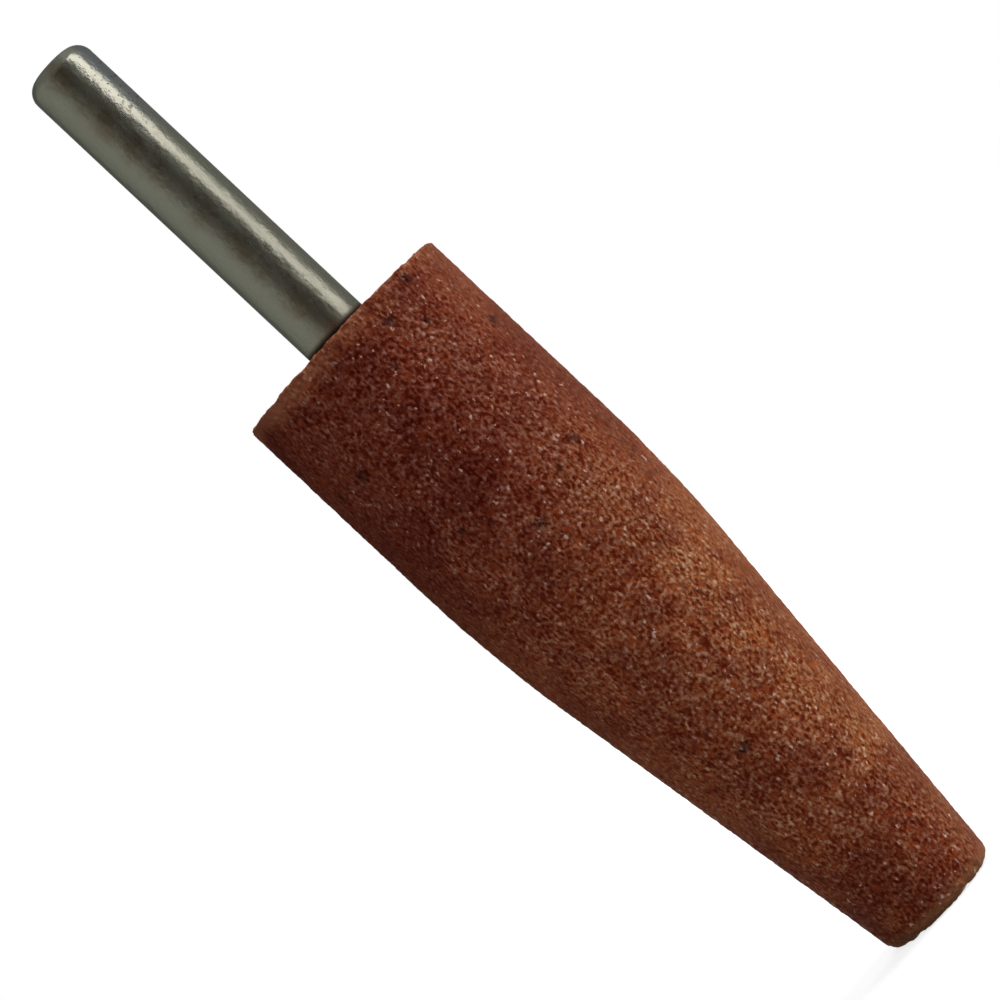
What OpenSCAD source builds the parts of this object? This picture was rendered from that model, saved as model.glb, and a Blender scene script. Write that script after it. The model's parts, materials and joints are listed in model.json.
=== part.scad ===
// Mounted point: a tapered abrasive stone cemented on the end of a plain steel mandrel.
// Millimetres. The point stands on its tip, with its axis on Z and the shank upwards.
// The origin is the centre of the flat tip face.

/* [Abrasive head] */
// Diameter of the straight barrel
head_d = 20.4; // [14:0.1:32]
// Length from the tip face to the back face
head_len = 64.2; // [50:0.1:90]
// Length of the barrel, measured to where its side would meet the taper's side
barrel_len = 25.7; // [20:0.1:32]
// Diameter of the tip face before its edge is rounded
tip_d = 10.7; // [6:0.1:14]
// Radius of the long blend from the barrel into the taper
blend_r = 100; // [20:1:140]
// Radius of the rounded edge of the tip
tip_edge_r = 1.1; // [0.4:0.1:2]
// Radius of the rounded edge of the back face
back_edge_r = 0.3; // [0.2:0.1:1.5]

/* [Mandrel] */
// Diameter of the shank, which a collet grips
shank_d = 6; // [5.6:0.1:8]
// Length of the shank, which stands out of the back face
shank_out = 30.8; // [15:0.1:60]
// Radius of the rounded edge of the free end
shank_end_r = 1.4; // [0.3:0.1:2]
// Length of the root, which is set in the head
root_len = 16; // [10:0.5:30]
// Depth by which the root is turned down below the shank's surface
root_relief = 0.25; // [0.2:0.05:0.6]
// Chamfer at the inner end of the root
root_chamfer = 0.5; // [0.2:0.1:1]

/* [Root key] */
// Number of straight knurl flutes round the root
flute_count = 16; // [8:1:24]
// Depth of each flute
flute_depth = 0.25; // [0.1:0.05:0.4]
// Length of plain root between the back face and the flutes
flute_inset = 2; // [0.5:0.5:6]
// Width of the ring groove that stops the root from pulling out
lock_groove_w = 2; // [1:0.1:3]
// Depth of that ring groove
lock_groove_depth = 0.5; // [0.2:0.05:1]
// Height of the ring groove's middle above the inner end of the root
lock_groove_at = 5; // [3:0.5:7]

/* [Cement] */
// Thickness of the cement round the root
cement_wall = 0.75; // [0.4:0.05:1.5]
// Thickness of the cement under the root
cement_floor = 0.8; // [0.3:0.1:3]
// Height of the collar squeezed out round the shank
collar_h = 0.25; // [0.1:0.05:1]
// Width by which the collar spreads over the back face
collar_spread = 0.3; // [0.1:0.05:1.5]
// Thickness of the collar at its top
collar_lip = 0.15; // [0.05:0.05:0.4]

/* [Hidden] */
$fn = 180;
// Straight steps along each arc of a half section
arc_steps = 12;
// A cut runs past the faces that it opens by this much
past = 1;

head_r = head_d / 2;
tip_r = tip_d / 2;
shank_r = shank_d / 2;
root_r = shank_r - root_relief;
bore_r = root_r + cement_wall;

// Heights along the axis, from the tip face
corner_z = head_len - barrel_len;
root_z = head_len - root_len;
bore_z = root_z - cement_floor;
collar_z = head_len + collar_h;
end_z = head_len + shank_out;
lock_groove_z = root_z + lock_groove_at;

// The taper leans out by this angle
taper_a = atan((head_r - tip_r) / corner_z);
// The blend touches the barrel at this height, and the taper as far below the corner
blend_top_z = corner_z + blend_r * tan(taper_a / 2);
// The tip's edge touches the tip face this far inside the tip's diameter
tip_tangent = tip_edge_r / tan(45 + taper_a / 2);

// Points of an arc, from one angle to another
function arc(centre, r, from, to) = [
    for (i = [0:arc_steps])
        let (a = from + (to - from) * i / arc_steps) centre + r * [cos(a), sin(a)]
];

// Half section of the head: flat tip, rounded edge, taper, long blend, barrel and back face
module head_profile()
    polygon([
        [0, 0],
        each arc([tip_r - tip_tangent, tip_edge_r], tip_edge_r, -90, -taper_a),
        each arc([head_r - blend_r, blend_top_z], blend_r, -taper_a, 0),
        each arc([head_r - back_edge_r, head_len - back_edge_r], back_edge_r, 0, 90),
        [0, head_len]
    ]);

// Half section of the mandrel: chamfered and grooved root, plain shank above the collar, rounded end
module mandrel_profile()
    polygon([
        [0, root_z],
        [root_r - root_chamfer, root_z],
        [root_r, root_z + root_chamfer],
        [root_r, lock_groove_z - lock_groove_w / 2],
        [root_r - lock_groove_depth, lock_groove_z],
        [root_r, lock_groove_z + lock_groove_w / 2],
        [root_r, collar_z],
        [shank_r, collar_z],
        each arc([shank_r - shank_end_r, end_z - shank_end_r], shank_end_r, 0, 90),
        [0, end_z]
    ]);

// Straight knurl: V-shaped cuts along the root, which stop it from turning in the cement
module root_flutes()
    for (i = [0:flute_count - 1])
        rotate(i * 360 / flute_count)
            translate([root_r, 0, root_z - past])
                cylinder(r = flute_depth, h = root_len - flute_inset + past, $fn = 4);

module mandrel_solid()
    difference() {
        rotate_extrude() mandrel_profile();
        root_flutes();
    }

// Bonded abrasive stone with a blind bore for the cemented root
module abrasive_head()
    color("#7a4330")
        difference() {
            rotate_extrude() head_profile();
            translate([0, 0, bore_z]) cylinder(r = bore_r, h = head_len - bore_z + past);
        }

// Drawn steel mandrel
module mandrel() color("#8f9083") mandrel_solid();

// Cement that fills the bore round the root and stands up as a thin collar at its mouth
module cement()
    color("#2c2a27")
        difference() {
            union() {
                translate([0, 0, bore_z]) cylinder(r = bore_r, h = head_len - bore_z);
                translate([0, 0, head_len])
                    cylinder(r1 = bore_r + collar_spread, r2 = shank_r + collar_lip, h = collar_h);
            }
            mandrel_solid();
        }

abrasive_head();
mandrel();
cement();
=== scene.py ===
import json
import math

import bmesh
import bpy
from bpy.props import FloatProperty, FloatVectorProperty, IntProperty, PointerProperty
from bpy.types import Operator, Panel, PropertyGroup
from mathutils import Matrix, Vector, noise


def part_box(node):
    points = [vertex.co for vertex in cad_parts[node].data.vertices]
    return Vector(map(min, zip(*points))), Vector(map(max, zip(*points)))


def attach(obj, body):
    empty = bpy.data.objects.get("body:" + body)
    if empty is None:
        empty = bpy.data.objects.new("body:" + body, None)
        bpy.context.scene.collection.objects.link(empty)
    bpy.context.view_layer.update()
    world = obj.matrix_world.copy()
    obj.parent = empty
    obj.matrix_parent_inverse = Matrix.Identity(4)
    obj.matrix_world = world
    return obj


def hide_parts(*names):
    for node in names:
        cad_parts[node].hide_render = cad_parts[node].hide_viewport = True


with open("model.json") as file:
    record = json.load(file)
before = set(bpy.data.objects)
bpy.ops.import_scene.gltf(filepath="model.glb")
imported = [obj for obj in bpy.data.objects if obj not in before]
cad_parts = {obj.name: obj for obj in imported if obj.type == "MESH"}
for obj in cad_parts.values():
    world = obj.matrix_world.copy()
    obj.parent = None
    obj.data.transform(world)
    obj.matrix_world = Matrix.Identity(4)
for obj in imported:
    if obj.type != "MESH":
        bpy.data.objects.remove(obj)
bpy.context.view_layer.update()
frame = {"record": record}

bl_info = {
    "name": "Mounted Point",
    "version": (1, 0, 0),
    "blender": (4, 5, 0),
    "location": "3D View > Sidebar > Mounted Point",
    "description": "Models the finish of a tapered grinding stone on its steel shank, and its stage",
    "category": "Object",
}

MM = 0.001
# Room for rounding where places on a mesh are compared, in metres
SLACK = 0.01 * MM
# Points of a mesh that are closer than this become one, in metres
MERGE = 0.001 * MM
# Steps of the mesh along each rounded corner
CORNER_STEPS = 8

# Sizes that the solids give, in metres
HEAD_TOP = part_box("abrasive_head")[1]
MANDREL_LOW, MANDREL_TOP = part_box("mandrel")
CEMENT_LOW, CEMENT_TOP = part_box("cement")
SHANK_MOUNT = next(m for m in frame["record"]["mounts"] if m["name"] == "shank")
SHANK_RADIUS = SHANK_MOUNT["dims"]["r_mm"] * MM

# Dark spots on the stone: place and radius in millimetres
STONE_SPOTS = (
    (-1.8, -7.6, 20.1, 1.1),
    (0.0, -10.0, 43.1, 0.9),
    (4.1, -9.3, 44.8, 0.6),
    (6.5, -7.8, 45.6, 0.8),
    (-6.7, -7.7, 55.4, 1.0),
    (-9.0, -4.8, 55.5, 0.7),
    (9.0, -4.8, 56.4, 0.9),
    (1.2, -10.1, 59.2, 0.6),
    (5.4, -8.7, 59.8, 0.7),
    (3.4, -9.6, 61.8, 0.9),
    (6.6, -7.7, 63.2, 0.9),
    (-4.4, -9.2, 47.0, 0.6),
    (4.6, 8.9, 49.0, 0.9),
    (-5.1, 6.0, 21.0, 0.8),
)

# Look of the stone in millimetres. A pair gives where a mask begins and where it is full: a height above the
# tip face, a depth below the back face for the back rim, or a place along X for the painted shade tint,
# which covers all but the key-lit +X side
TAPER_TOP = (52.0, 28.0)
TAPER_FOOT = (-4.0, 14.0)
BACK_RIM = (2.2, 0.2)
TIP_RIM = (5.0, 1.0)
# Painted light: a band at the tip's rounded edge, lightened to offset the shade it gets next to the floor
PAINTED_LIGHT_TIP_EDGE = (1.6, 0.3)
# Painted shade: the stone is tinted redder everywhere except on its key-lit +X side
SHADED_SIDE = (5.5, 1.5)
CLOUD = 6.0
SMALL_CLOUD = 1.8
# Mean of the clouds, and how many millimetres they shift the back rim by
CLOUD_MEAN = 0.75
RIM_SHIFT = 3.0

# Look of the steel in millimetres, as pairs too: depths below the free end, and a height above the stone
# The first is a painted highlight near the free end, and the last is painted shade where the shank enters
# the stone
PAINTED_HIGHLIGHT_END = (16.0, 3.0)
PITTED_END = (13.0, 3.0)
BLUISH_END = (12.0, 4.0)
SHADED_FOOT = (1.0, 0.4)


def length(name, description, default):
    """A size in metres."""
    return FloatProperty(
        name=name, description=description, default=default, min=0.0, precision=5, unit="LENGTH"
    )


def share(name, description, default, most=1.0):
    """An amount from 0 to the most that it may be."""
    return FloatProperty(name=name, description=description, default=default, min=0.0, max=most)


def paint(name, description, default):
    """A colour, as linear red, green and blue."""
    return FloatVectorProperty(
        name=name, description=description, default=default, size=3, min=0.0, max=1.0, subtype="COLOR"
    )


class StoneSettings(PropertyGroup):
    """Sizes and colours of the abrasive head."""

    radius: length("Barrel radius", "Radius of the straight barrel", HEAD_TOP.x)
    height: length("Length", "Length from the tip face to the back face", HEAD_TOP.z)
    barrel: length("Barrel length", "Length from the back face to the corner under the blend", 25.7 * MM)
    blend: length("Blend radius", "Radius of the long blend from the barrel into the taper", 100 * MM)
    tip: length("Tip radius", "Radius of the tip face before its edge is rounded", 5.35 * MM)
    tip_edge: length("Tip edge", "Radius of the rounded edge of the tip", 1.1 * MM)
    back_edge: length("Back edge", "Radius of the rounded edge of the back face", 0.3 * MM)
    bore: length("Bore radius", "Radius of the blind bore for the mandrel", 3.5 * MM)
    grain: length("Grain", "Size of one grain of abrasive", 0.265 * MM)
    relief: length("Relief", "Depth between the tops of the grains and the bond", 0.13 * MM)
    bump: length("Bump", "Depth of the finer relief, which is shading alone", 0.14 * MM)
    chips: length("Chips", "Depth of the crumbled places along the edges", 0.4 * MM)
    row: length("Row", "Distance between the mesh's rows along the side", 0.235 * MM)
    turns: IntProperty(name="Turns", description="Steps of the mesh round the axis", default=288, min=24)
    contrast: share("Contrast", "Contrast between the grains and the pores", 1.36, 4.0)
    calm: share("Calm flanks", "Contrast that the flanks lose", 0.62)
    level: share("Level flanks", "Share of the bump that the flanks lose", 0.65)
    pore: paint("Pores", "Colour of the bond in the pores", (0.165, 0.0245, 0.007))
    grit: paint("Grit", "Colour of the bond over the grains", (0.31, 0.089, 0.033))
    tan: paint("Bare grit", "Colour of the grains that stand out of the bond", (0.44, 0.20, 0.088))
    pale: paint("Pale grit", "Colour of the palest grains", (0.70, 0.50, 0.35))
    rust: paint("Warm grit", "Colour of the orange-red grains", (0.42, 0.105, 0.026))
    mauve: paint("Cool grit", "Colour of the greyer grains", (0.27, 0.125, 0.085))
    skin: paint("Skin", "Tint of the skin, which is worn off the taper and rims", (0.575, 0.445, 0.56))
    # Painted shade: a redder tint on all but the key-lit +X side of the stone
    flush: paint("Flush", "Tint of the redder side of the stone", (1.0, 0.84, 0.86))
    stain: paint("Stain", "Tint of the darker clouds", (0.66, 0.53, 0.57))
    dust: paint("Dust", "Colour of the rubbed back rim", (0.30, 0.105, 0.058))
    # Painted sheen: the pale grey laid on the key-lit +X flank, where grazing light makes the stone look
    # paler
    painted_sheen: paint("Powder", "Colour of the fine grey dust on one flank", (0.19, 0.09, 0.055))
    # Pale grit painted bright as sparkle: partly the grains' own colour, partly painted highlight
    pale_grit_and_painted_glint: paint("Glint", "Colour of the few bright facets", (0.66, 0.42, 0.33))
    spot: paint("Spots", "Tint of the few dark spots", (0.22, 0.30, 0.48))


class MandrelSettings(PropertyGroup):
    """Sizes and colours of the steel mandrel."""

    radius: length("Radius", "Radius of the shank", SHANK_RADIUS)
    root: length("Root radius", "Radius of the turned-down root in the stone", 2.75 * MM)
    end_edge: length("End edge", "Radius of the rounded edge of the free end", 1.4 * MM)
    root_chamfer: length("Root chamfer", "Chamfer at the inner end of the root", 0.5 * MM)
    groove_at: length("Groove place", "Height of the ring groove above the root's inner end", 5.0 * MM)
    groove_width: length("Groove width", "Width of the ring groove", 2.0 * MM)
    groove_depth: length("Groove depth", "Depth of the ring groove", 0.5 * MM)
    flutes: IntProperty(name="Flutes", description="Straight knurl flutes on the root", default=16, min=3)
    flute_depth: length("Flute depth", "Depth of each flute", 0.25 * MM)
    flute_inset: length("Flute inset", "Plain root between the back face and the flutes", 2.0 * MM)
    row: length("Row", "Distance between the mesh's rows along the shank", 0.25 * MM)
    turns: IntProperty(name="Turns", description="Steps of the mesh round the axis", default=128, min=24)
    steel: paint("Steel", "Colour of the clean drawn steel", (0.52, 0.50, 0.40))
    # Painted highlight: the cream band on the +X side near the free end, where the streak of light runs
    painted_highlight: paint("Rubbed steel", "Colour of the rubbed side near the free end", (0.80, 0.77, 0.64))
    # A bluish tint on the +X side near the free end
    bluish_tint: paint("Film", "Colour of the bluish film near the free end", (0.48, 0.52, 0.56))
    # Partly brown bloom, partly painted reflection: laid only in the band facing the camera, where a brown
    # reflection runs
    tarnish_and_brown_reflection: paint("Tarnish", "Colour of the brown bloom on the steel", (0.34, 0.205, 0.13))
    pit: paint("Pits", "Colour of the rusted pits", (0.08, 0.045, 0.028))
    # Painted shade: the dark band on the steel where the shank enters the stone
    painted_foot_shade: paint("Soot", "Colour of the grime where the shank enters the stone", (0.025, 0.027, 0.021))
    roughness: share("Roughness", "Roughness of the clean steel", 0.29)
    bump: length("Bump", "Depth of the dents and the grit, which are shading alone", 0.05 * MM)


class CementSettings(PropertyGroup):
    """Sizes and colours of the cement."""

    spread: length("Spread", "Width by which the collar spreads over the back face", 0.3 * MM)
    lip: length("Lip", "Thickness of the collar at its top", 0.15 * MM)
    bump: length("Bump", "Depth of the cement's grain, which is shading alone", 0.05 * MM)
    dark: paint("Cement", "Colour of the set cement", (0.030, 0.024, 0.020))
    dust: paint("Dust", "Colour of the stone dust caught in the cement", (0.06, 0.034, 0.025))


class StageSettings(PropertyGroup):
    """Camera, floor and lights."""

    lens: FloatProperty(name="Lens", description="Focal length in millimetres", default=150.0, min=20.0)
    distance: length("Distance", "Distance from the camera to the axis", 323.75 * MM)
    aim_side: FloatProperty(
        name="Aim side", description="Camera's place along X", default=-0.762 * MM, unit="LENGTH"
    )
    aim_height: length("Aim height", "Camera's height", 46.49 * MM)
    roll: FloatProperty(
        name="Roll",
        description="Turn of the camera about its view",
        default=math.radians(46.86),
        unit="ROTATION",
    )
    floor: length("Floor", "Side of the square floor", 4.0)
    pool: length("Pool", "Radius within which the lamps light the floor", 0.3)
    glow: share("Glow", "Light of its own that the floor gives in the middle of the pool", 0.8)
    tone: share("Tone", "Grey of the floor that the camera sees, under its own light", 0.3)
    bounce: share("Bounce", "Grey of the floor for the light that it throws back", 0.38)
    key: share("Key", "Power of the key lamp in watts", 2.45, 50.0)
    fill: share("Fill", "Power of the fill lamp in watts", 0.88, 50.0)
    back: share("Back", "Power of the lamp behind the object in watts", 1.3, 50.0)
    sky: share("Sky", "Light that the surroundings throw on the object", 0.03)


class Shade:
    """A socket of a shader tree. Arithmetic on it adds Math nodes."""

    # Sockets of a Mix node that mixes colours, by number because their names repeat
    MIX_FACTOR = 0
    MIX_FIRST = 6
    MIX_SECOND = 7
    MIX_RESULT = 2

    def __init__(self, tree, socket=None):
        self.tree = tree
        self.socket = socket

    def node(self, kind, settings=None, sockets=None, output=0):
        """Adds a node with its settings, fills its sockets with values or links, and gives an output."""
        made = self.tree.nodes.new(kind)
        for name, value in (settings or {}).items():
            if name == "stops":
                ramp = made.color_ramp.elements
                while len(ramp) < len(value):
                    ramp.new(1.0)
                for element, (place, colour) in zip(ramp, value):
                    element.position = place
                    element.color = (*colour, 1.0)
            else:
                setattr(made, name, value)
        for name, value in (sockets or {}).items():
            socket = made.inputs[name]
            if isinstance(value, Shade):
                self.tree.links.new(value.socket, socket)
            elif socket.type == "RGBA":
                socket.default_value = (*value, 1.0)
            else:
                socket.default_value = value
        return Shade(self.tree, made.outputs[output] if made.outputs else None)

    def math(self, operation, *values):
        """Math on this number and others."""
        return self.node("ShaderNodeMath", {"operation": operation}, dict(enumerate((self, *values))))

    def __add__(self, other):
        return self.math("ADD", other)

    __radd__ = __add__

    def __mul__(self, other):
        return self.math("MULTIPLY", other)

    __rmul__ = __mul__

    def __sub__(self, other):
        return self.math("SUBTRACT", other)

    def __rsub__(self, other):
        return self.node("ShaderNodeMath", {"operation": "SUBTRACT"}, {0: other, 1: self})

    def vector(self, operation, *values, output=0):
        """Vector Math on this vector and others."""
        values = dict(enumerate((self, *values)))
        return self.node("ShaderNodeVectorMath", {"operation": operation}, values, output)

    def scaled(self, amount):
        """This vector, times a number."""
        return self.node("ShaderNodeVectorMath", {"operation": "SCALE"}, {0: self, "Scale": amount})

    def parts(self):
        """The three numbers of this vector or colour."""
        return [self.node("ShaderNodeSeparateXYZ", None, {0: self}, axis) for axis in "XYZ"]

    def step(self, low, high):
        """A mask that rises from 0 at low to 1 at high, or falls if low is the larger."""
        return self.node(
            "ShaderNodeMapRange",
            {"interpolation_type": "SMOOTHSTEP"},
            {"Value": self, "From Min": low, "From Max": high},
        )

    def blended(self, factor, first, second, blend="MIX"):
        """One colour, mixed with another one."""
        return self.node(
            "ShaderNodeMix",
            {"data_type": "RGBA", "blend_type": blend},
            {self.MIX_FACTOR: factor, self.MIX_FIRST: first, self.MIX_SECOND: second},
            self.MIX_RESULT,
        )

    def mixed(self, factor, colour):
        """This colour, mixed with another one."""
        return self.blended(factor, self, colour)

    def tinted(self, factor, colour):
        """This colour, multiplied by another one."""
        return self.blended(factor, self, colour, "MULTIPLY")

    def drawn(self, amount):
        """This place with its height times an amount, which draws patterns out along the axis."""
        return self.vector("MULTIPLY", (1.0, 1.0, amount))

    def bump(self, depth, strength=1.0):
        """The normals of a surface that has this height, times a depth in metres."""
        return self.node("ShaderNodeBump", None, {"Strength": strength, "Distance": depth, "Height": self})

    def noise(self, size, detail=2.0):
        """Soft noise whose blots are about this many of the vector's units across."""
        return self.node(
            "ShaderNodeTexNoise", None, {"Vector": self, "Scale": 1.0 / size, "Detail": detail}
        )

    def cells(self, size, output="Color"):
        """Cells of about this many of the vector's units across, each with its own random colour."""
        return self.node("ShaderNodeTexVoronoi", None, {"Vector": self, "Scale": 1.0 / size}, output)


def new_material(name):
    """A material with an empty tree."""
    material = bpy.data.materials.new(name)
    material.use_nodes = True
    material.node_tree.nodes.clear()
    return material, Shade(material.node_tree)


def set_surface(shade, surface):
    """Makes a shader the material's surface."""
    shade.node("ShaderNodeOutputMaterial", None, {"Surface": surface})


def set_principled(shade, sockets):
    """Makes a Principled shader, with these values in its sockets, the material's surface."""
    set_surface(shade, shade.node("ShaderNodeBsdfPrincipled", None, sockets))


def millimetres(shade):
    """The place on the piece, in millimetres from the frame's origin."""
    return shade.node("ShaderNodeTexCoord", output="Object").scaled(1.0 / MM)


def stone_web(stone, drawn, flank):
    """Pale grains against dark pores as one number, calmer on the flanks, and two random numbers a grain."""
    grain = stone.grain / MM
    cell = 1.3 * grain
    tone, tint, spark = drawn.cells(cell).parts()
    dots = (tone - 0.5) * drawn.cells(cell, "Distance").step(0.75, 0.15)
    contrast = stone.contrast - stone.calm * flank
    web = 0.5 + (0.72 * (drawn.noise(grain) - 0.5) + 0.32 * dots) * contrast
    return web, tint, spark


def stone_wear(stone, x, height, clouds):
    """Masks of the taper's wear and of the wear on the rims at the back and the tip, each stronger on one
    side. The tip rim's stronger -X side is partly painted light that lifts the shade there, and the taper's
    slight extra on the key-lit +X side is partly painted light too.
    """
    top = stone.height / MM
    # Partly painted light: the taper's wear is a little stronger on the key-lit +X side
    taper = height.step(*TAPER_TOP) * height.step(*TAPER_FOOT) * (0.95 + 0.05 * x.step(-6.0, 5.0))
    ragged = height + RIM_SHIFT * (clouds - CLOUD_MEAN)
    back_rim = ragged.step(*(top - depth for depth in BACK_RIM)) * (0.2 + 0.8 * x.step(5.0, -1.0))
    # Partly painted light: the tip rim is lighter on the shaded -X side, to lift the shade there
    tip_rim = height.step(*TIP_RIM) * (0.05 + 0.6 * x.step(1.0, -4.0))
    return taper, back_rim, tip_rim


def stone_material(stone):
    """Vitrified stone: a web of tan grains round dark red pores, under a darker skin. The skin is lost to
    wear on the taper and the rims. Painted light lightens the tip's edge and the tip rim's -X side, a
    painted shade tint reddens all but the key-lit +X side, and a painted sheen pales its +X flank. Stains,
    dust, pale facets painted bright as sparkle and a few dark spots lie over that."""
    material, shade = new_material("bonded_stone")
    place = millimetres(shade)
    x, _, height = place.parts()
    across = place.drawn(0.0).vector("NORMALIZE").parts()[0]
    flank = across.math("ABSOLUTE").step(0.5, 1.0)
    drawn = place.drawn(0.76)
    clouds = place.noise(CLOUD) + 0.5 * place.noise(SMALL_CLOUD)
    web, tint, spark = stone_web(stone, drawn, flank)
    taper, back_rim, tip_rim = stone_wear(stone, x, height, clouds)

    # Single grains
    colour = shade.node(
        "ShaderNodeValToRGB",
        {"stops": [(0.34, stone.pore), (0.48, stone.grit), (0.61, stone.tan), (0.84, stone.pale)]},
        {"Fac": web},
    )
    colour = colour.mixed(tint.step(0.88, 0.97) * 0.6, stone.rust)
    colour = colour.mixed(tint.step(0.18, 0.08) * 0.2, stone.mauve)

    # Skin, stains and dust, with the painted shade tint, the painted sheen and the painted light on the
    # tip's edge
    # Wear of the taper and the rims, with painted light in the tip rim's -X side and the taper's +X side
    wear_and_painted_light = taper * (0.6 + 0.4 * clouds.step(0.65, 0.9)) + back_rim + tip_rim
    stained = clouds.step(0.85, 0.6) * (0.75 - 0.35 * taper)
    dusty = back_rim * (0.45 + 0.4 * x.step(-4.0, -8.0))
    colour = colour.tinted(1 - wear_and_painted_light.math("MINIMUM", 1.0), stone.skin)
    # Painted shade: a redder tint on all but the key-lit +X side
    colour = colour.tinted(x.step(*SHADED_SIDE), stone.flush)
    colour = colour.tinted(stained, stone.stain)
    colour = colour.mixed(dusty, stone.dust)
    # Painted light: the tip's rounded edge is lightened towards bare grit, to offset the shade it gets next
    # to the floor
    colour = colour.mixed(height.step(*PAINTED_LIGHT_TIP_EDGE) * 0.6, stone.tan)
    # Painted sheen: pale grey on the key-lit +X flank
    colour = colour.mixed(across.step(0.72, 1.0) * 0.2, stone.painted_sheen)

    # Pale facets painted bright as sparkle, partly pale grit and partly painted highlight, weaker towards
    # both flanks, and dark spots
    facets = drawn.cells(0.85 * stone.grain / MM).parts()[0].step(0.95, 0.97) * web.step(0.52, 0.6)
    pale_grit_and_painted_glint = facets * (0.4 + 0.6 * x.step(-5.0, 1.0) - 0.3 * x.step(2.5, 6.0))
    colour = colour.mixed(pale_grit_and_painted_glint, stone.pale_grit_and_painted_glint)
    for *centre, size in STONE_SPOTS:
        reach = place.vector("DISTANCE", centre, output="Value") + 0.6 * (web - 0.5)
        colour = colour.tinted(reach.step(size, 0.0) * 0.85, stone.spot)

    set_principled(shade, {
        "Base Color": colour,
        "Roughness": 0.8 - 0.3 * spark,
        "Specular IOR Level": 0.02,
        "Coat Weight": pale_grit_and_painted_glint,
        "Coat Roughness": 0.2,
        "Normal": (web * (1 - stone.level * flank)).bump(stone.bump),
    })
    return material


def steel_material(steel):
    """Drawn steel: satin and faintly uneven, with blotchy brown bloom and a painted brown reflection in a
    band along its middle, and painted shade at its foot. Near its free end the +X side has a painted
    highlight, pits and a bluish tint."""
    material, shade = new_material("drawn_steel")
    place = millimetres(shade)
    x, _, height = place.parts()
    depth = MANDREL_TOP.z / MM - height
    rise = height - HEAD_TOP.z / MM

    streaks = place.drawn(0.15).noise(0.3)
    dents = place.drawn(0.7).noise(0.7, 1.0)
    grit = place.noise(0.25)
    bloom = place.noise(2.5) + 0.4 * place.noise(0.5)
    ragged = place.noise(0.45) - 0.5 * place.noise(3.0)
    pits = ragged.step(0.38, 0.46) * depth.step(*PITTED_END) * x.step(0.8, 2.2)
    # Painted shade: darkening of the steel just above the stone, which is also rougher
    painted_foot_shade = rise.step(*SHADED_FOOT)
    # Painted highlight: a cream band on the +X side near the free end, which is also a little smoother
    painted_highlight = x.step(0.7, 1.3) * x.step(2.5, 2.0) * depth.step(*PAINTED_HIGHLIGHT_END)
    # Bluish tint on the +X side near the free end
    bluish_cast = x.step(1.9, 2.5) * depth.step(*BLUISH_END)
    # Blotchy brown bloom, confined to the band facing the camera: partly bloom, partly painted reflection
    bloom_and_brown_reflection = bloom.step(0.62, 0.9) * x.step(-2.2, -0.8) * x.step(1.2, 0.2)

    colour = shade.blended(bloom_and_brown_reflection * 0.5, steel.steel, steel.tarnish_and_brown_reflection)
    colour = colour.mixed(painted_highlight, steel.painted_highlight)
    colour = colour.mixed(bluish_cast * 0.8, steel.bluish_tint)
    colour = colour.mixed(pits * 0.8, steel.pit)
    colour = colour.mixed(painted_foot_shade * 0.9, steel.painted_foot_shade)
    roughness = steel.roughness + 0.2 * (streaks - 0.5) + 0.3 * pits + 0.4 * painted_foot_shade - 0.08 * painted_highlight
    uneven = dents + 0.45 * grit + 0.1 * streaks - 0.2 * pits
    set_principled(shade, {
        "Base Color": colour,
        "Metallic": 1.0,
        "Roughness": roughness,
        "Normal": uneven.bump(steel.bump),
    })
    return material


def cement_material(cement):
    """Set cement: nearly black, matt and grainy, with stone dust caught in it."""
    material, shade = new_material("set_cement")
    place = millimetres(shade)
    clouds = place.noise(0.5, 3.0)
    grainy = clouds + 0.5 * place.cells(0.18).parts()[0]
    set_principled(shade, {
        "Base Color": shade.blended(grainy.step(0.6, 1.1), cement.dark, cement.dust),
        "Roughness": 0.75 + 0.2 * (clouds - 0.5),
        "Normal": grainy.bump(cement.bump, 0.5),
    })
    return material


def chain(corners):
    """A bmesh of edges in the XZ plane through (radius, height) corners. A corner with a third number,
    its tangent length, is rounded from that far along both of its sides."""
    bm = bmesh.new()
    verts = [bm.verts.new((corner[0], 0.0, corner[1])) for corner in corners]
    for pair in zip(verts, verts[1:]):
        bm.edges.new(pair)
    for vert, corner in zip(verts, corners):
        if len(corner) > 2:
            bmesh.ops.bevel(
                bm,
                geom=[vert],
                offset=corner[2],
                offset_type="OFFSET",
                segments=CORNER_STEPS,
                profile=0.5,
                affect="VERTICES",
                material=-1,
            )
    return bm


def part_edges(bm, spacing, keep):
    """Cuts a chain's edges into steps no longer than the spacing, apart from those that keep picks out."""
    for edge in list(bm.edges):
        cuts = math.ceil(edge.calc_length() / spacing) - 1
        if cuts and not keep(edge):
            bmesh.ops.subdivide_edges(bm, edges=[edge], cuts=cuts)


def turn(bm, steps):
    """Spins a chain once round the axis into a closed skin that faces outwards."""
    bmesh.ops.spin(
        bm,
        geom=bm.verts[:] + bm.edges[:],
        cent=(0.0, 0.0, 0.0),
        axis=(0.0, 0.0, 1.0),
        angle=math.tau,
        steps=steps,
        use_merge=True,
    )
    bmesh.ops.remove_doubles(bm, verts=bm.verts[:], dist=MERGE)
    bmesh.ops.recalc_face_normals(bm, faces=bm.faces[:])
    bm.normal_update()


def new_object(bm, name, material):
    """Makes a bmesh an object of the scene, at the origin."""
    mesh = bpy.data.meshes.new(name)
    bm.to_mesh(mesh)
    bm.free()
    mesh.materials.append(material)
    made = bpy.data.objects.new(name, mesh)
    bpy.context.scene.collection.objects.link(made)
    return made


def add_piece(bm, name, material, node):
    """Makes a bmesh a smooth piece that stands for a solid and rides on the one body."""
    for face in bm.faces:
        face.smooth = True
    piece = new_object(bm, name, material)
    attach(piece, "root")
    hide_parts(node)


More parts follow.
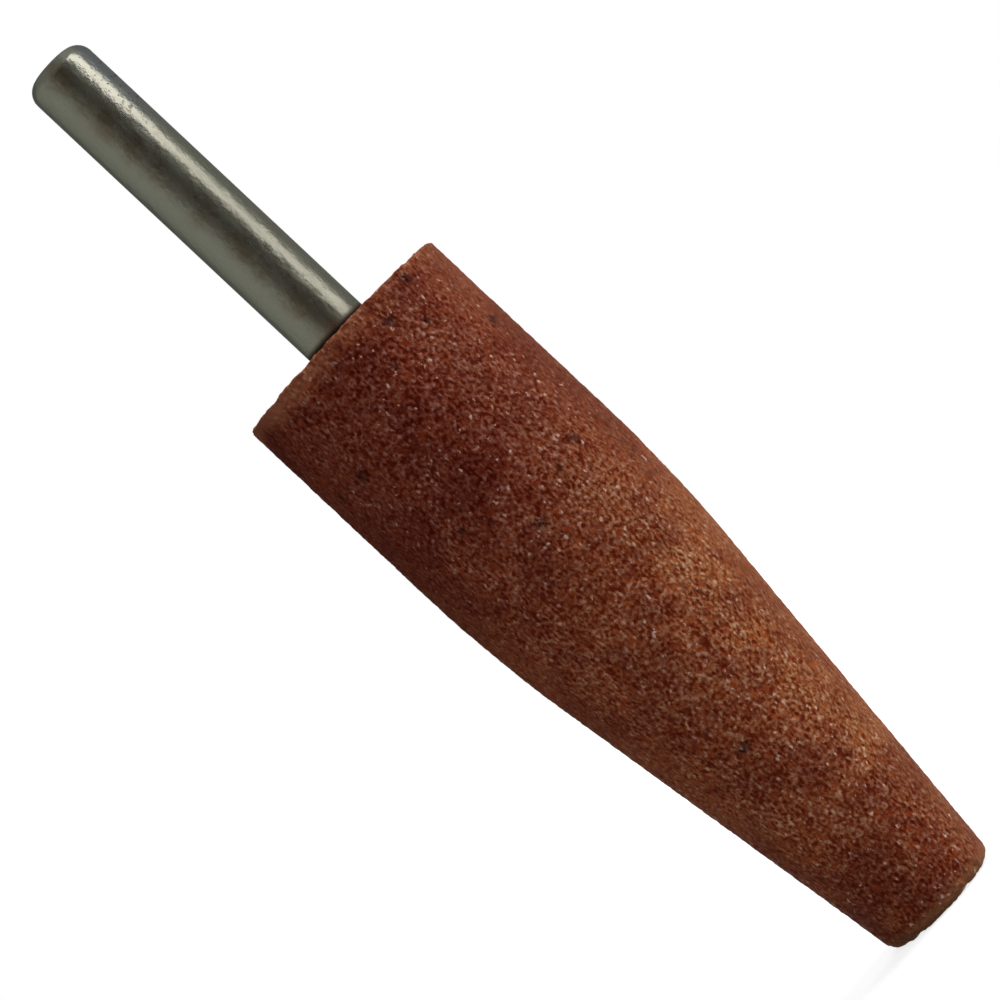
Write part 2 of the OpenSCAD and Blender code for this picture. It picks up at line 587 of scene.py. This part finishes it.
class POINT_OT_abrasive_head(Operator):
    """Turns the stone and sinks its skin between the grains"""

    bl_idname = "mounted_point.abrasive_head"
    bl_label = "Abrasive head"

    # Relief: width of a hump in grains, a factor that tells the humps apart, and the share that stays level
    hump = 1.6
    scatter = 7.3
    level = 0.2
    # Crumbled edges in metres: heights of the bands at the back and at the tip, and width of one crumb
    back_band = 3.0 * MM
    tip_band = 2.0 * MM
    crumb = 1.3 * MM
    # Shares of the radius beyond which the back and the tip crumble, and what is added to the crumbs' noise
    back_margin = 0.8
    tip_margin = 0.6
    crumbly = 0.1

    def execute(self, context):
        stone = context.scene.mounted_point.stone
        corner = stone.height - stone.barrel
        lean = math.atan2(stone.radius - stone.tip, corner)
        bm = chain([
            (0.0, 0.0),
            (stone.tip, 0.0, stone.tip_edge / math.tan(math.radians(45) + lean / 2)),
            (stone.radius, corner, stone.blend * math.tan(lean / 2)),
            (stone.radius, stone.height, stone.back_edge),
            (stone.bore, stone.height),
            (stone.bore, CEMENT_LOW.z),
            (0.0, CEMENT_LOW.z),
        ])
        in_bore = stone.bore + SLACK
        part_edges(bm, stone.row, lambda edge: all(v.co.x < in_bore and v.co.z > 0 for v in edge.verts))
        turn(bm, stone.turns)
        self.sink(bm, stone, in_bore)
        add_piece(bm, "stone_head", stone_material(stone), "abrasive_head")
        return {"FINISHED"}

    def sink(self, bm, stone, in_bore):
        """Moves the skin inwards between the grains, and further where an edge has crumbled."""
        moves = []
        for vert in bm.verts:
            radius = vert.co.xy.length
            if radius < in_bore and vert.co.z > SLACK:
                continue
            near, centres = noise.voronoi(vert.co / (self.hump * stone.grain))
            lift = 0.5 + 0.5 * noise.cell(centres[0] * self.scatter)
            depth = stone.relief * max(0.0, 0.5 * lift + 0.5 * near[0] - self.level)
            edge = 0.0
            if radius > stone.radius * self.back_margin:
                edge = max(edge, 0.5 - (stone.height - vert.co.z) / self.back_band)
            if radius > stone.tip * self.tip_margin:
                edge = max(edge, 1 - vert.co.z / self.tip_band)
            crumble = max(0.0, noise.noise(vert.co / self.crumb) + self.crumbly)
            depth += stone.chips * edge * crumble
            moves.append((vert, vert.normal * -depth))
        for vert, move in moves:
            vert.co += move


def root_corners(mandrel):
    """The keyed root's (radius, height) corners, from its inner end to the top of the cement."""
    inner = MANDREL_LOW.z
    groove = inner + mandrel.groove_at
    half = mandrel.groove_width / 2
    fluted = HEAD_TOP.z - mandrel.flute_inset
    return [
        (0.0, inner),
        (mandrel.root - mandrel.root_chamfer, inner),
        (mandrel.root, inner + mandrel.root_chamfer),
        (mandrel.root, groove - half),
        (mandrel.root - mandrel.groove_depth, groove),
        (mandrel.root, groove + half),
        (mandrel.root, fluted),
        (mandrel.root, fluted + mandrel.flute_depth),
        (mandrel.root, CEMENT_TOP.z),
    ]


def cut_flutes(bm, mandrel):
    """Moves the root's skin inwards along each straight flute."""
    pitch = math.tau / mandrel.flutes
    for vert in bm.verts:
        radius = vert.co.xy.length
        on_root = MANDREL_LOW.z - SLACK < vert.co.z < HEAD_TOP.z - mandrel.flute_inset + SLACK
        if not on_root or radius < SLACK or radius > mandrel.root + SLACK:
            continue
        angle = math.atan2(vert.co.y, vert.co.x)
        aside = abs(angle - pitch * round(angle / pitch)) * mandrel.root
        floor = mandrel.root - max(0.0, mandrel.flute_depth - aside)
        if floor < radius:
            vert.co.xy *= floor / radius


class POINT_OT_mandrel(Operator):
    """Turns the mandrel and cuts the flutes that key its root"""

    bl_idname = "mounted_point.mandrel"
    bl_label = "Mandrel"

    def execute(self, context):
        mandrel = context.scene.mounted_point.mandrel
        bm = chain([
            *root_corners(mandrel),
            (mandrel.radius, CEMENT_TOP.z),
            (mandrel.radius, MANDREL_TOP.z, mandrel.end_edge),
            (0.0, MANDREL_TOP.z),
        ])
        shank = CEMENT_TOP.z - SLACK
        part_edges(bm, mandrel.row, lambda edge: any(v.co.z < shank for v in edge.verts))
        turn(bm, mandrel.turns)
        cut_flutes(bm, mandrel)
        add_piece(bm, "steel_mandrel", steel_material(mandrel), "mandrel")
        return {"FINISHED"}


class POINT_OT_cement(Operator):
    """Turns the cement round the root, with its uneven collar"""

    bl_idname = "mounted_point.cement"
    bl_label = "Cement"

    # The collar in metres: distance between its rows, width of the waves in its edge, and their reach
    row = 0.15 * MM
    wave = 1.2 * MM
    swing = 0.12 * MM
    # Width next to the shank where the collar has no waves, in metres
    still = 0.05 * MM

    def execute(self, context):
        point = context.scene.mounted_point
        mandrel, stone, cement = point.mandrel, point.stone, point.cement
        bm = chain([
            *root_corners(mandrel),
            (mandrel.radius + cement.lip, CEMENT_TOP.z),
            (stone.bore + cement.spread, HEAD_TOP.z),
            (stone.bore, HEAD_TOP.z),
            (stone.bore, CEMENT_LOW.z),
            (0.0, CEMENT_LOW.z),
        ])
        collar = HEAD_TOP.z - SLACK
        part_edges(bm, self.row, lambda edge: any(v.co.z < collar for v in edge.verts))
        turn(bm, mandrel.turns)
        cut_flutes(bm, mandrel)
        for vert in bm.verts:
            radius = vert.co.xy.length
            if vert.co.z > collar and radius > mandrel.radius + self.still:
                out = noise.noise(vert.co / self.wave) * self.swing
                vert.co.xy *= 1 + out / radius
        add_piece(bm, "cement_sleeve", cement_material(cement), "cement")
        return {"FINISHED"}


def white_to_eye(shade):
    """A mask that is 1 for what the camera sees, straight, mirrored or through glass."""
    path = shade.node("ShaderNodeLightPath", output="Is Camera Ray")
    rays = path.socket.node.outputs
    glossy = Shade(shade.tree, rays["Is Glossy Ray"])
    through = Shade(shade.tree, rays["Is Transmission Ray"])
    return (path + glossy + through).math("MINIMUM", 1.0)


def floor_material(stage):
    """White floor that takes the object's shadow. Its own light grows away from the lamps, so that it looks
    white all over. What it throws on the object is the light from a plain grey."""
    material, shade = new_material("pale_floor")
    reach = shade.node("ShaderNodeTexCoord", output="Object").vector("LENGTH", output="Value")
    fade = {"Value": reach, "From Max": stage.pool, "To Min": stage.glow}
    glow = shade.node("ShaderNodeMapRange", None, fade)
    seen = shade.node("ShaderNodeEmission", None, {"Color": (1.0, 1.0, 1.0), "Strength": glow})
    tone = shade.node("ShaderNodeBsdfDiffuse", None, {"Color": [stage.tone] * 3})
    bounce = shade.node("ShaderNodeBsdfDiffuse", None, {"Color": [stage.bounce] * 3})
    white = shade.node("ShaderNodeAddShader", None, {0: seen, 1: tone})
    sides = {0: white_to_eye(shade), 1: bounce, 2: white}
    set_surface(shade, shade.node("ShaderNodeMixShader", None, sides))
    return material


def card_material(stops):
    """Soft grey card whose colour follows the angle round the axis, from -Y round by +X."""
    material, shade = new_material("reflection_card")
    x, y, _ = shade.node("ShaderNodeTexCoord", output="Object").parts()
    turned = x.math("ARCTAN2", 0.0 - y) * (1 / math.tau) + 0.5
    grey = shade.node(
        "ShaderNodeValToRGB",
        {"stops": [((angle + 180) / 360, colour) for angle, colour in stops]},
        {"Fac": turned},
    )
    set_surface(shade, shade.node("ShaderNodeEmission", None, {"Color": grey}))
    return material


def stage_object(bm, name, material):
    """Makes a bmesh an object of the stage, which is no piece of the part."""
    made = new_object(bm, name, material)
    return made


class POINT_OT_stage(Operator):
    """Sets the floor, the reflection card, the lamps, the world and the camera"""

    bl_idname = "mounted_point.stage"
    bl_label = "Stage"

    # Angle from the camera's side towards +X in degrees, and the card's colour there
    card = (
        (-180, (0.155, 0.165, 0.16)),
        (-140, (0.08, 0.085, 0.08)),
        (-112, (0.22, 0.24, 0.23)),
        (-70, (0.28, 0.30, 0.29)),
        (-45, (0.25, 0.265, 0.255)),
        (-15, (0.095, 0.09, 0.08)),
        (15, (0.045, 0.046, 0.044)),
        (45, (0.10, 0.105, 0.10)),
        (95, (0.20, 0.21, 0.20)),
        (140, (0.16, 0.17, 0.165)),
        (180, (0.155, 0.165, 0.16)),
    )
    # Angles of the same kind between which the card is open towards the key lamp
    card_gap = (56.0, 88.0)
    # Radius and height of the card in metres, and its steps round the axis
    card_radius = 0.16
    card_height = 0.26
    card_steps = 90
    # Colour of the lid on the card, and its steps round the axis
    lid = (0.19, 0.20, 0.195)
    lid_steps = 48
    # Distance of the lamps from the stone's middle and the side of each square lamp, in metres
    lamp_reach = 0.5
    lamp_side = 0.3
    # Where the camera's view begins and ends, in metres
    clip = (0.01, 20.0)

    def execute(self, context):
        stage = context.scene.mounted_point.stage
        self.add_floor(stage)
        self.add_card()
        self.add_lamps(stage)
        self.set_world(context.scene, stage)
        self.add_camera(context.scene, stage)
        context.scene.view_settings.view_transform = "Standard"
        return {"FINISHED"}

    def add_floor(self, stage):
        bm = bmesh.new()
        bmesh.ops.create_grid(bm, x_segments=1, y_segments=1, size=stage.floor / 2)
        stage_object(bm, "floor", floor_material(stage))

    def add_card(self):
        """Stands a card with a lid round the object, open towards the key lamp. Only reflections see it."""
        low, high = (math.radians(angle) for angle in self.card_gap)
        bm = bmesh.new()
        foot = Vector((math.sin(high), -math.cos(high), 0.0)) * self.card_radius
        verts = [bm.verts.new(foot), bm.verts.new(foot + Vector((0.0, 0.0, self.card_height)))]
        edge = bm.edges.new(verts)
        bmesh.ops.spin(
            bm,
            geom=[*verts, edge],
            cent=(0.0, 0.0, 0.0),
            axis=(0.0, 0.0, 1.0),
            angle=math.tau - (high - low),
            steps=self.card_steps,
        )
        self.hide(stage_object(bm, "reflection_card", card_material(self.card)))
        bm = bmesh.new()
        bmesh.ops.create_circle(
            bm,
            cap_ends=True,
            radius=self.card_radius,
            segments=self.lid_steps,
            matrix=Matrix.Translation((0.0, 0.0, self.card_height)),
        )
        lid = ((-180, self.lid), (180, self.lid))
        self.hide(stage_object(bm, "reflection_lid", card_material(lid)))

    def hide(self, card):
        """Leaves a card to the reflections alone."""
        card.visible_camera = card.visible_diffuse = card.visible_shadow = False
        card.visible_transmission = card.visible_volume_scatter = False

    def add_lamps(self, stage):
        """Sets each lamp at its angle from the camera's side towards +X and its rise, both in degrees."""
        aim = Vector((0.0, 0.0, HEAD_TOP.z / 2))
        lamps = (
            ("key_lamp", 86.0, 35.0, stage.key),
            ("front_fill", -8.0, 50.0, stage.fill),
            ("back_fill", 160.0, 40.0, stage.back),
        )
        for name, angle, rise, power in lamps:
            light = bpy.data.lights.new(name, "AREA")
            light.shape = "SQUARE"
            light.size = self.lamp_side
            light.energy = power
            a = math.radians(angle)
            e = math.radians(rise)
            away = Vector((math.sin(a) * math.cos(e), -math.cos(a) * math.cos(e), math.sin(e)))
            lamp = bpy.data.objects.new(name, light)
            lamp.location = aim + away * self.lamp_reach
            lamp.rotation_euler = away.to_track_quat("Z", "Y").to_euler()
            lamp.visible_camera = lamp.visible_glossy = False
            bpy.context.scene.collection.objects.link(lamp)

    def set_world(self, scene, stage):
        world = bpy.data.worlds.new("studio")
        world.use_nodes = True
        world.node_tree.nodes.clear()
        shade = Shade(world.node_tree)
        eye = white_to_eye(shade)
        sky = shade.node(
            "ShaderNodeBackground",
            None,
            {"Color": (1.0, 1.0, 1.0), "Strength": eye + (1 - eye) * stage.sky},
        )
        shade.node("ShaderNodeOutputWorld", None, {"Surface": sky})
        scene.world = world

    def add_camera(self, scene, stage):
        camera = bpy.data.cameras.new("camera")
        camera.lens = stage.lens
        camera.clip_start, camera.clip_end = self.clip
        holder = bpy.data.objects.new("camera", camera)
        level = Matrix.Rotation(math.radians(90), 4, "X")
        rolled = Matrix.Rotation(-stage.roll, 4, "Z")
        place = Vector((stage.aim_side, -stage.distance, stage.aim_height))
        holder.matrix_world = Matrix.Translation(place) @ level @ rolled
        scene.collection.objects.link(holder)
        scene.camera = holder


class PointSettings(PropertyGroup):
    """All settings of the mounted point."""

    stone: PointerProperty(name="Stone", description="The abrasive head", type=StoneSettings)
    mandrel: PointerProperty(name="Mandrel", description="The steel mandrel", type=MandrelSettings)
    cement: PointerProperty(name="Cement", description="The cement", type=CementSettings)
    stage: PointerProperty(name="Stage", description="Camera, floor and lights", type=StageSettings)


OPERATORS = (POINT_OT_abrasive_head, POINT_OT_mandrel, POINT_OT_cement, POINT_OT_stage)


class POINT_PT_sidebar(Panel):
    """Lists the steps that make the mounted point, with their settings"""

    bl_idname = "POINT_PT_sidebar"
    bl_label = "Mounted Point"
    bl_space_type = "VIEW_3D"
    bl_region_type = "UI"
    bl_category = "Mounted Point"

    def draw(self, context):
        point = context.scene.mounted_point
        groups = (point.stone, point.mandrel, point.cement, point.stage)
        for operator, settings in zip(OPERATORS, groups):
            box = self.layout.box()
            box.operator(operator.bl_idname)
            for name in settings.__annotations__:
                box.prop(settings, name)


SETTINGS = (StoneSettings, MandrelSettings, CementSettings, StageSettings, PointSettings)
CLASSES = (*SETTINGS, *OPERATORS, POINT_PT_sidebar)


def register():
    for cls in CLASSES:
        bpy.utils.register_class(cls)
    bpy.types.Scene.mounted_point = PointerProperty(type=PointSettings)


def unregister():
    del bpy.types.Scene.mounted_point
    for cls in reversed(CLASSES):
        bpy.utils.unregister_class(cls)


def main():
    register()
    bpy.ops.mounted_point.abrasive_head()
    bpy.ops.mounted_point.mandrel()
    bpy.ops.mounted_point.cement()
    bpy.ops.mounted_point.stage()


if __name__ == "__main__":
    main()
